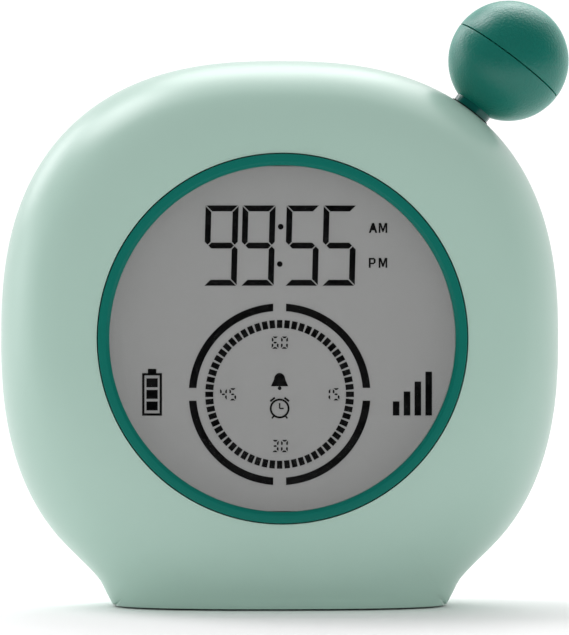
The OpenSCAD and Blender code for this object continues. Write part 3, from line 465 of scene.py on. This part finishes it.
# Display marks: dyed liquid crystal between the two glasses. They keep the CAD's shapes and give the
# eye a dead flat black.
ink, tree = new_material("liquid_crystal_black")
place = add_node(tree, "ShaderNodeTexCoord")
cloud = add_node(tree, "ShaderNodeTexNoise", {"Scale": 900.0}, {"Vector": (place, "Object")})
rough = add_node(tree, "ShaderNodeMapRange", {"To Min": 0.5, "To Max": 0.6}, {"Value": (cloud, 0)})
shader = add_node(tree, "ShaderNodeBsdfPrincipled",
                  {"Base Color": linear("#0a0a0b"), "IOR": 1.45, "Specular IOR Level": 0.2},
                  {"Roughness": (rough, 0)})
add_node(tree, "ShaderNodeOutputMaterial", {}, {"Surface": (shader, 0)})
dress(["lcd_digits", "lcd_dial", "lcd_symbols"], ink)

# Display backing: a grey polariser over a brushed reflector film. It is matt, and it is given a faint even
# painted glow that stands in for light and fills the ring's shadow, so that this hardly darkens its edge.
backing, tree = new_material("grey_polariser_painted_glow")
place = add_node(tree, "ShaderNodeTexCoord")
grain = add_node(tree, "ShaderNodeTexNoise", {"Scale": 1500.0, "Detail": 1.0}, {"Vector": (place, "Object")})
tint = add_node(tree, "ShaderNodeMix", {"data_type": "RGBA", 6: linear("#757676"), 7: linear("#797a7a")},
                {0: (grain, 0)})
# The emission is a painted glow, not light from a lamp: it fills the ring's shadow on the backing.
shader = add_node(tree, "ShaderNodeBsdfPrincipled",
                  {"Roughness": 0.62, "IOR": 1.45, "Specular IOR Level": 0.2,
                   "Emission Color": linear("#f4f4f2"), "Emission Strength": 0.18},
                  {"Base Color": (tint, 2)})
add_node(tree, "ShaderNodeOutputMaterial", {}, {"Surface": (shader, 0)})
dress(["lcd_rear_glass"], backing)

# Teal ABS with a fine spark-eroded texture, on the ball, the buttons and the slide switch. It gives a
# matt, slightly velvety teal; the 0.15 mm grain is drawn about 0.6 mm coarse so that it shows.
knob_teal, tree = new_material("spark_textured_abs_teal")
place = add_node(tree, "ShaderNodeTexCoord")
grain = add_node(tree, "ShaderNodeTexNoise", {"Scale": 1700.0, "Detail": 3.0, "Roughness": 0.65},
                 {"Vector": (place, "Object")})
tint = add_node(tree, "ShaderNodeMix", {"data_type": "RGBA", 6: linear("#006155"), 7: linear("#046e61")},
                {0: (grain, 0)})
rough = add_node(tree, "ShaderNodeMapRange", {"To Min": 0.27, "To Max": 0.36}, {"Value": (grain, 0)})
relief = add_node(tree, "ShaderNodeBump", {"Strength": 0.5, "Distance": 0.0002}, {"Height": (grain, 0)})
shader = add_node(tree, "ShaderNodeBsdfPrincipled",
                  {"IOR": 1.5, "Specular IOR Level": 0.45, "Sheen Weight": 0.4, "Sheen Roughness": 0.5,
                   "Sheen Tint": linear("#48d0b8")},
                  {"Base Color": (tint, 2), "Roughness": (rough, 0), "Normal": (relief, 0)})
add_node(tree, "ShaderNodeOutputMaterial", {}, {"Surface": (shader, 0)})

# Ball knob: two moulded half shells, 26 mm across and 1.8 mm thick, that snap together on a lip. The
# seam between them is a fine open line square to the stem, closed a little further in by a web.
ball_r = 13.05
ball_bore_r = 11.25
ball_centre = stem_foot + 13.85 * stem_dir
half_gap = 0.1
web_r = 10.6
web_t = 0.4


def half_ball(sign):
    """Profile of a half shell: an outer arc from pole to seam, a rounded lip, and an inner arc back."""
    a = np.linspace(math.pi / 2, math.asin(half_gap / ball_r) + 0.02, 40)
    arc = np.stack([np.cos(a), sign * np.sin(a)], -1)
    lip = [(ball_r - 0.02, sign * 0.17), (ball_r - 0.1, sign * 0.13), (ball_r - 0.4, sign * 0.12),
           (ball_bore_r + 0.05, sign * 0.07)]
    return np.concatenate([ball_r * arc, lip, ball_bore_r * arc[::-1]])


for name, sign, node in [("knob_cap_shell", 1, "knob_upper_half"),
                         ("knob_base_shell", -1, "knob_lower_half")]:
    points, faces = revolved(half_ball(sign), stem_turn, ball_centre, 192)
    shell = settle(make_piece(name, points, faces), 40)
    paint(shell, knob_teal)
    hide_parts(node)
    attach(shell, "knob")
profile = rounded_profile([(0, 0), (web_r, 0), (web_r, web_t), (0, web_t)], [0, 0.15, 0.15, 0],
                          closed=False)
points, faces = revolved(profile, stem_turn, ball_centre - web_t / 2 * stem_dir, 96)
web = settle(make_piece("knob_seam_web", points, faces))
paint(web, knob_teal)
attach(web, "knob")

# Collar: a polished teal sleeve round the stem, between the ball and the casing. It turns with the
# ball, and its lower end goes 2.2 mm into the casing's hole.
collar_teal, tree = new_material("polished_abs_teal")
place = add_node(tree, "ShaderNodeTexCoord")
cloud = add_node(tree, "ShaderNodeTexNoise", {"Scale": 400.0}, {"Vector": (place, "Object")})
rough = add_node(tree, "ShaderNodeMapRange", {"To Min": 0.14, "To Max": 0.22}, {"Value": (cloud, 0)})
shader = add_node(tree, "ShaderNodeBsdfPrincipled",
                  {"Base Color": linear("#02544c"), "IOR": 1.52, "Specular IOR Level": 0.3},
                  {"Roughness": (rough, 0)})
add_node(tree, "ShaderNodeOutputMaterial", {}, {"Surface": (shader, 0)})
stem_r = 3.06
collar_r = 4.35
collar_low = -2.2
collar_high = 2.8
profile = rounded_profile([(stem_r, collar_low), (collar_r, collar_low), (collar_r, collar_high),
                           (stem_r, collar_high)], [0.1, 0.3, 0.3, 0.1])
points, faces = revolved(profile, stem_turn, stem_foot, 96)
collar = settle(make_piece("stem_collar", points, faces))
paint(collar, collar_teal)
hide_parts("knob_collar")
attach(collar, "knob")

# Painted shade at the stem's hole: a thin black sleeve that fills the gap round the collar up to the
# casing's surface, where there is only the gap's shadow, so that it shows as a fine black line at the
# collar's foot.
gap_shade_black, tree = new_material("black_painted_gap_shade")
place = add_node(tree, "ShaderNodeTexCoord")
grain = add_node(tree, "ShaderNodeTexNoise", {"Scale": 1200.0, "Detail": 2.0}, {"Vector": (place, "Object")})
rough = add_node(tree, "ShaderNodeMapRange", {"To Min": 0.75, "To Max": 0.9}, {"Value": (grain, 0)})
shader = add_node(tree, "ShaderNodeBsdfPrincipled",
                  {"Base Color": linear("#0b0c0c"), "IOR": 1.5, "Specular IOR Level": 0.2},
                  {"Roughness": (rough, 0)})
add_node(tree, "ShaderNodeOutputMaterial", {}, {"Surface": (shader, 0)})
shade_sleeve_r = collar_r + 0.05
shade_sleeve_outer_r = stem_hole_r - 0.01
shade_sleeve_low = -2.1
shade_sleeve_high = 0.1
profile = rounded_profile([(shade_sleeve_r, shade_sleeve_low), (shade_sleeve_outer_r, shade_sleeve_low), (shade_sleeve_outer_r, shade_sleeve_high),
                           (shade_sleeve_r, shade_sleeve_high)], [0, 0, 0.08, 0.06])
points, faces = revolved(profile, stem_turn, stem_foot, 96)
# This sleeve is painted shade: a black piece put where there is only the shadow of the gap.
gap_shade_sleeve = settle(make_piece("stem_gap_painted_shade", points, faces))
paint(gap_shade_sleeve, gap_shade_black)
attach(gap_shade_sleeve, "casing")

# Rear half of the casing: the same moulded ABS, with a flat back that holds the battery door, three
# buttons, a slide switch, a speaker grille and four screw wells.
hub_r = 2.0
dome_points = 72
back_turn = Matrix.Rotation(math.radians(-90), 4, "X")
row_z = 67.0
row_x = -24.0
row_pitch = 16.0
button_hole_r = 4.7
speaker_z = 89.0
grille_pitch = 3.6
grille_hole_r = 0.8
screw_at = [(-40.2, 20.0), (40.2, 20.0), (-47.2, 83.8), (47.2, 83.8)]
well_r = 2.7
bay_z = 41.0
door_half_w = 28.5
door_half_h = 18.8
slot_half_h = 1.8
cut_start = 13.5
cut_end = 33


def block(low, high):
    """The eight corners and six faces of a box between two corners."""
    (x0, y0, z0), (x1, y1, z1) = low, high
    points = [(x, y, z) for x in (x0, x1) for y in (y0, y1) for z in (z0, z1)]
    return points, [[0, 1, 3, 2], [4, 6, 7, 5], [0, 4, 5, 1], [2, 3, 7, 6], [0, 2, 6, 4], [1, 5, 7, 3]]


def joined(shapes):
    """Several shapes' points and faces as one list each, with each shape's faces numbered on."""
    points, faces = [], []
    for own_points, own_faces in shapes:
        faces += [[len(points) + q for q in face] for face in own_faces]
        points += np.asarray(own_points, float).reshape(-1, 3).tolist()
    return points, faces


def past_seam(x, z):
    """Whether the rear surface at (x, z) lies behind the parting line."""
    return rear_y(x, z) > parting_y + half_seam


rear_corner_x = float(solved(np.array(0.0), np.array(foot_half_w),
                             lambda x: past_seam(x, np.array(floor_z))))
rear_corner = math.atan2(floor_z - display_z, rear_corner_x)
rear_over = np.linspace(rear_corner, math.pi - rear_corner, 301)
rear_under = np.linspace(math.pi - rear_corner, 2 * math.pi + rear_corner, 61)[1:-1]
rear_turn = np.concatenate([rear_over, rear_under])
rear_c, rear_s = np.cos(rear_turn), np.sin(rear_turn)
rear_outline = outline_r(rear_turn)
seam_r = solved(0 * rear_turn, rear_outline, lambda r: past_seam(r * rear_c, display_z + r * rear_s))
dome = face_path(rear_turn, hub_r + 0 * rear_turn, rear_outline, rear_y, 1600)
before_seam = np.hypot(dome[..., 0], dome[..., 2] - display_z) < seam_r[:, None]
seam_x, seam_z = seam_r * rear_c, display_z + seam_r * rear_s
seam = np.stack([seam_x, rear_y(seam_x, seam_z), seam_z], -1)
dome = even_steps(np.where(before_seam[..., None], dome, seam[:, None]), dome_points)
faces = grid_faces(len(rear_turn), dome_points)
last_row = dome_points * (len(rear_turn) - 1)
faces += [[last_row + k + 1, k + 1, k, last_row + k] for k in range(dome_points - 1)]
faces.append([dome_points * k for k in range(len(rear_turn))])
foot_edge = [*range(len(rear_over) - 1, len(rear_turn)), 0]
faces.append([dome_points * k + dome_points - 1 for k in foot_edge])
rear_skin = give_wall(make_piece("rear_casing_shell", dome, faces))
hole_at = [(row_x + row_pitch * k, row_z, button_hole_r) for k in range(3)]
hole_at += [(0.0, speaker_z, grille_hole_r)]
hole_at += [(q * grille_pitch * math.cos(a), speaker_z + q * grille_pitch * math.sin(a), grille_hole_r)
            for q in (1, 2, 3) for a in np.arange(6 * q) * math.pi / (3 * q)]
hole_at += [(x, z, well_r) for x, z in screw_at]
cutters = [revolved([(0, cut_start), (r, cut_start), (r, cut_end), (0, cut_end)], back_turn, (x, 0, z),
                    24 if r < 1 else 64) for x, z, r in hole_at]
cutters.append(block((-door_half_w, 20, bay_z - door_half_h), (door_half_w, cut_end, bay_z + door_half_h)))
cutters.append(block((22.2, 20, row_z - slot_half_h), (29.8, cut_end, row_z + slot_half_h)))
points, faces = joined(cutters)
cut_away(rear_skin, make_piece("rear_cutter", points, faces))
paint(rear_skin, mint)
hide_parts("rear_casing")
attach(rear_skin, "casing")

# Screw wells: four moulded tubes that run from the rear surface down to the screw heads. Their outer
# ends follow the casing's surface.
shank_r = 1.5
well_outer_r = 4.3
head_y = 14.6
well_low = 13.0
a = np.linspace(0, 2 * np.pi, 64, endpoint=False)
for k, (x, z) in enumerate(screw_at):
    rows = []
    for r, y in [(shank_r, head_y), (well_r, head_y), (well_r, None), (well_outer_r, None),
                 (well_outer_r, well_low), (shank_r, well_low), (shank_r, head_y)]:
        px, pz = x + r * np.cos(a), z + r * np.sin(a)
        rows.append(np.stack([px, rear_y(px, pz) - 0.5 if y is None else y + 0 * px, pz], -1))
    well = settle(make_piece(f"screw_well_{k + 1}", rows, grid_faces(len(rows), len(a), True)))
    paint(well, mint)
    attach(well, "casing")

# Battery bay: a moulded tray behind the door opening, with a shelf for the door to rest on and a
# deep well for the cells. The door is moulded of the same ABS and keeps the CAD's shape.
corner_points = 6


def boxed(profile, half_x, half_z, centre_z, corner_r):
    """Rectangles with round corners, one for each (growth, y) of the profile. Their half sizes and corner
    radius grow by the growth, down to a corner of 0.2."""
    q = np.linspace(0, np.pi / 2, corner_points)
    rows = []
    for growth, y in profile:
        r = max(corner_r + growth, 0.2)
        ax, az = half_x + growth - r, half_z + growth - r
        loop = [(sx * ax + r * np.cos(q + start), sz * az + r * np.sin(q + start))
                for sx, sz, start in ((1, 1, 0), (-1, 1, np.pi / 2), (-1, -1, np.pi), (1, -1, 1.5 * np.pi))]
        x, z = np.concatenate(loop, 1)
        rows.append(np.stack([x, y + 0 * x, centre_z + z], -1))
    return np.array(rows), grid_faces(len(rows), 4 * corner_points, True)


profile = [(0.05, 29.0), (0.05, 27.45), (-2.25, 27.45), (-2.25, 16.2), (-12.0, 16.2), (-12.0, 14.6),
           (-0.65, 14.6), (-0.65, 25.5), (1.75, 25.5), (1.75, 27.5), (0.9, 29.0), (0.05, 29.0)]
points, faces = boxed(profile, door_half_w, door_half_h, bay_z, 0.4)
faces += [[row * 4 * corner_points + k for k in range(4 * corner_points)] for row in (4, 5)]
bay = settle(make_piece("battery_bay_tray", points, faces))
paint(bay, mint)
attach(bay, "casing")
dress(["battery_door"], mint)

# Push buttons: three moulded caps with a soft dish and a rounded rim, and a flange behind the wall.
# The slide switch's cap beside them is of the same teal ABS.
cap_r = 4.5
cap_top = 30.4
flange_r = 5.1
flange_top = 27.2
flange_low = 26.45
rim = rounded_corner((cap_r, cap_top), (3.4, 30.38), (cap_r, 28), 0.7)
profile = [(0, 30.15), (2.6, 30.2), (3.5, 30.3), *rim, (cap_r, flange_top), (flange_r, flange_top),
           (flange_r, flange_low), (0, flange_low)]
for k, side in enumerate(["left", "middle", "right"]):
    points, faces = revolved(profile, back_turn, (row_x + row_pitch * k, 0, row_z), 96)
    cap = settle(make_piece(f"push_button_{side}", points, faces))
    paint(cap, knob_teal)
    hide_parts(f"button_{side}")
    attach(cap, f"{side}_button")
dress(["slide_switch_cap"], knob_teal)

# Foot pad: a moulded silicone plate let into the casing's floor, dark grey and matt. The strips that
# press the display's contacts onto the board are of the same rubber.
silicone, tree = new_material("moulded_silicone_dark_grey")
place = add_node(tree, "ShaderNodeTexCoord")
grain = add_node(tree, "ShaderNodeTexNoise", {"Scale": 1400.0, "Detail": 2.0}, {"Vector": (place, "Object")})
relief = add_node(tree, "ShaderNodeBump", {"Strength": 0.15, "Distance": 0.0002}, {"Height": (grain, 0)})
shader = add_node(tree, "ShaderNodeBsdfPrincipled",
                  {"Base Color": linear("#343a38"), "Roughness": 0.8, "IOR": 1.41},
                  {"Normal": (relief, 0)})
add_node(tree, "ShaderNodeOutputMaterial", {}, {"Surface": (shader, 0)})
dress(["foot_pad", "contact_strips"], silicone)

# Zinc-plated steel for the screws, the encoder's shaft, nut and washer, the slide switch's frame and
# the speaker's magnet: a cool grey metal with a fine, slightly uneven polish.
steel, tree = new_material("zinc_plated_steel")
place = add_node(tree, "ShaderNodeTexCoord")
grain = add_node(tree, "ShaderNodeTexNoise", {"Scale": 800.0, "Detail": 3.0}, {"Vector": (place, "Object")})
rough = add_node(tree, "ShaderNodeMapRange", {"To Min": 0.25, "To Max": 0.42}, {"Value": (grain, 0)})
shader = add_node(tree, "ShaderNodeBsdfPrincipled", {"Base Color": linear("#b9bdbf"), "Metallic": 1.0},
                  {"Roughness": (rough, 0)})
add_node(tree, "ShaderNodeOutputMaterial", {}, {"Surface": (shader, 0)})
dress(["holder_screws", "board_screws", "encoder_shaft", "encoder_nut", "encoder_washer", "bracket_screws",
       "button_board_screws", "speaker_magnet", "speaker_screws", "casing_screws",
       "slide_switch_housing"], steel)

# Nickel-plated spring steel for the battery springs and contact plates: bright and slightly warm, with
# a fine mottle in its polish.
nickel, tree = new_material("nickel_plated_spring_steel")
place = add_node(tree, "ShaderNodeTexCoord")
grain = add_node(tree, "ShaderNodeTexNoise", {"Scale": 500.0, "Detail": 2.0}, {"Vector": (place, "Object")})
rough = add_node(tree, "ShaderNodeMapRange", {"To Min": 0.16, "To Max": 0.3}, {"Value": (grain, 0)})
shader = add_node(tree, "ShaderNodeBsdfPrincipled", {"Base Color": linear("#d2cec4"), "Metallic": 1.0},
                  {"Roughness": (rough, 0)})
add_node(tree, "ShaderNodeOutputMaterial", {}, {"Surface": (shader, 0)})
dress(["battery_springs", "battery_plates"], nickel)

# Battery cells: each in a plain green shrink film, glossy, slightly rippled and a little uneven in
# its colour.
film, tree = new_material("shrink_film_green")
place = add_node(tree, "ShaderNodeTexCoord")
ripple = add_node(tree, "ShaderNodeTexNoise", {"Scale": 150.0, "Detail": 1.0}, {"Vector": (place, "Object")})
relief = add_node(tree, "ShaderNodeBump", {"Strength": 0.1, "Distance": 0.0002}, {"Height": (ripple, 0)})
tint = add_node(tree, "ShaderNodeMix", {"data_type": "RGBA", 6: linear("#3b7c6c"), 7: linear("#438674")},
                {0: (ripple, 0)})
shader = add_node(tree, "ShaderNodeBsdfPrincipled", {"Roughness": 0.28, "IOR": 1.5},
                  {"Base Color": (tint, 2), "Normal": (relief, 0)})
add_node(tree, "ShaderNodeOutputMaterial", {}, {"Surface": (shader, 0)})
dress(["battery_1", "battery_2", "battery_3"], film)

# White moulded nylon for the display's holder, the encoder's bracket and plunger, the speaker's clamp
# and the connectors. The light guide and its two small lamps are as white.
nylon, tree = new_material("moulded_nylon_white")
place = add_node(tree, "ShaderNodeTexCoord")
cloud = add_node(tree, "ShaderNodeTexNoise", {"Scale": 120.0, "Detail": 2.0}, {"Vector": (place, "Object")})
tint = add_node(tree, "ShaderNodeMix", {"data_type": "RGBA", 6: linear("#dcdfdb"), 7: linear("#e3e4df")},
                {0: (cloud, 0)})
shader = add_node(tree, "ShaderNodeBsdfPrincipled", {"Roughness": 0.5, "IOR": 1.53},
                  {"Base Color": (tint, 2)})
add_node(tree, "ShaderNodeOutputMaterial", {}, {"Surface": (shader, 0)})
dress(["display_holder", "encoder_bracket", "speaker_clamp", "encoder_plunger", "board_connectors",
       "light_guide", "backlight_leds"], nylon)

# Circuit boards: green solder mask over woven glass fibre, hard and rather glossy. The 0.4 mm weave
# shows through faintly.
laminate, tree = new_material("green_solder_mask")
place = add_node(tree, "ShaderNodeTexCoord")
weave = add_node(tree, "ShaderNodeTexChecker",
                 {"Scale": 2500.0, "Color1": linear("#215a39"), "Color2": linear("#26623f")},
                 {"Vector": (place, "Object")})
shader = add_node(tree, "ShaderNodeBsdfPrincipled", {"Roughness": 0.35, "IOR": 1.5},
                  {"Base Color": (weave, 0)})
add_node(tree, "ShaderNodeOutputMaterial", {}, {"Surface": (shader, 0)})
dress(["main_board", "button_board"], laminate)

# Black moulded epoxy and phenolic for the chip, the board's small parts, the button switches with
# their plungers, the encoder's body and the speaker's frame.
epoxy, tree = new_material("moulded_epoxy_black")
place = add_node(tree, "ShaderNodeTexCoord")
grain = add_node(tree, "ShaderNodeTexNoise", {"Scale": 1800.0, "Detail": 2.0}, {"Vector": (place, "Object")})
rough = add_node(tree, "ShaderNodeMapRange", {"To Min": 0.5, "To Max": 0.7}, {"Value": (grain, 0)})
shader = add_node(tree, "ShaderNodeBsdfPrincipled", {"Base Color": linear("#1b1c1e"), "IOR": 1.55},
                  {"Roughness": (rough, 0)})
add_node(tree, "ShaderNodeOutputMaterial", {}, {"Surface": (shader, 0)})
dress(["controller_chip", "encoder_housing", "button_switches", "plunger_left", "plunger_middle",
       "plunger_right", "speaker", "board_components"], epoxy)

# Lead sleeves: extruded PVC, red-brown and slightly glossy, on the leads to the battery, speaker,
# encoder and button board.
pvc, tree = new_material("extruded_pvc_red")
place = add_node(tree, "ShaderNodeTexCoord")
cloud = add_node(tree, "ShaderNodeTexNoise", {"Scale": 300.0}, {"Vector": (place, "Object")})
rough = add_node(tree, "ShaderNodeMapRange", {"To Min": 0.35, "To Max": 0.45}, {"Value": (cloud, 0)})
shader = add_node(tree, "ShaderNodeBsdfPrincipled", {"Base Color": linear("#8f332c"), "IOR": 1.53},
                  {"Roughness": (rough, 0)})
add_node(tree, "ShaderNodeOutputMaterial", {}, {"Surface": (shader, 0)})
dress(["battery_leads", "speaker_leads", "encoder_leads", "button_leads"], pvc)

# Floor: a plain white lacquered table top that runs out of sight, so the timer stands on a soft shadow
# alone and is lit from below by the white's return.
lacquer, tree = new_material("white_lacquered_table")
shader = add_node(tree, "ShaderNodeBsdfPrincipled",
                  {"Base Color": linear("#fcfcfc"), "Roughness": 0.7, "Specular IOR Level": 0.2})
add_node(tree, "ShaderNodeOutputMaterial", {}, {"Surface": (shader, 0)})
points, faces = block((-6000, -350, -60), (6000, 9000, 0))
floor = make_piece("table_top", points, faces)
floor.data.materials.append(lacquer)

# Room: plain white to the camera and dimmer on the object. In gloss alone it shows an unlit end
# behind the camera and a bright ceiling, which give the curved edges their shape.
room = bpy.data.worlds.new("white_room")
room.use_nodes = True
tree = room.node_tree
tree.nodes.clear()
place = add_node(tree, "ShaderNodeTexCoord")
way = add_node(tree, "ShaderNodeSeparateXYZ", {}, {0: (place, "Generated")})
ray = add_node(tree, "ShaderNodeLightPath")
soft = add_node(tree, "ShaderNodeMapRange",
                {"interpolation_type": "SMOOTHSTEP", "From Min": -0.3, "From Max": 0.5,
                 "To Min": 0.67, "To Max": 0.78}, {"Value": (way, "Y")})
behind = add_node(tree, "ShaderNodeMapRange",
                  {"interpolation_type": "SMOOTHSTEP", "From Min": -0.2, "From Max": 0.6},
                  {"Value": (way, "Y")})
ceiling = add_node(tree, "ShaderNodeMapRange",
                   {"interpolation_type": "SMOOTHSTEP", "From Min": 0.65, "From Max": 0.92,
                    "To Min": 1.1, "To Max": 4.6}, {"Value": (way, "Z")})
gloss = add_node(tree, "ShaderNodeMath", {"operation": "MULTIPLY"}, {0: (behind, 0), 1: (ceiling, 0)})
level = add_node(tree, "ShaderNodeMix", {}, {0: (ray, "Is Glossy Ray"), 2: (soft, 0), 3: (gloss, 0)})
shown = add_node(tree, "ShaderNodeMix", {3: 1.1}, {0: (ray, "Is Camera Ray"), 2: (level, 0)})
light = add_node(tree, "ShaderNodeBackground", {"Color": (1.0, 1.0, 1.0, 1.0)}, {"Strength": (shown, 0)})
add_node(tree, "ShaderNodeOutputWorld", {}, {"Surface": (light, 0)})
bpy.context.scene.world = room

# Lamps: six, each as soft as a studio's wide box. Five stand behind the timer, most of them to its
# left, so that its top and left edges glow, and a weak one in front lifts the lower half. Azimuth 0
# is in front and 90 at the viewer's right, and both angles are in degrees.
lamp_width = math.radians(26)
for name, azimuth, height, strength, tone in [
    ("back_top", 180, 50, 0.46, "#ffffff"),
    ("right_back", 155, 41, 0.33, "#ffffff"),
    ("left_top", 240, 55, 0.90, "#fffdff"),
    ("left_back", 225, 28, 0.47, "#fffcff"),
    ("left_low", 250, 6, 0.26, "#fdfdff"),
    ("front", 0, 20, 0.25, "#ffffff"),
]:
    data = bpy.data.lights.new(name, "SUN")
    data.angle = lamp_width
    data.energy = strength
    data.color = linear(tone)[:3]
    lamp = bpy.data.objects.new(name, data)
    bpy.context.scene.collection.objects.link(lamp)
    a, e = math.radians(azimuth), math.radians(height)
    towards = Vector((math.sin(a) * math.cos(e), -math.cos(a) * math.cos(e), math.sin(e)))
    lamp.rotation_euler = towards.to_track_quat("Z", "Y").to_euler()
    lamp.visible_glossy = name != "front"
bpy.context.scene.view_settings.view_transform = "Standard"
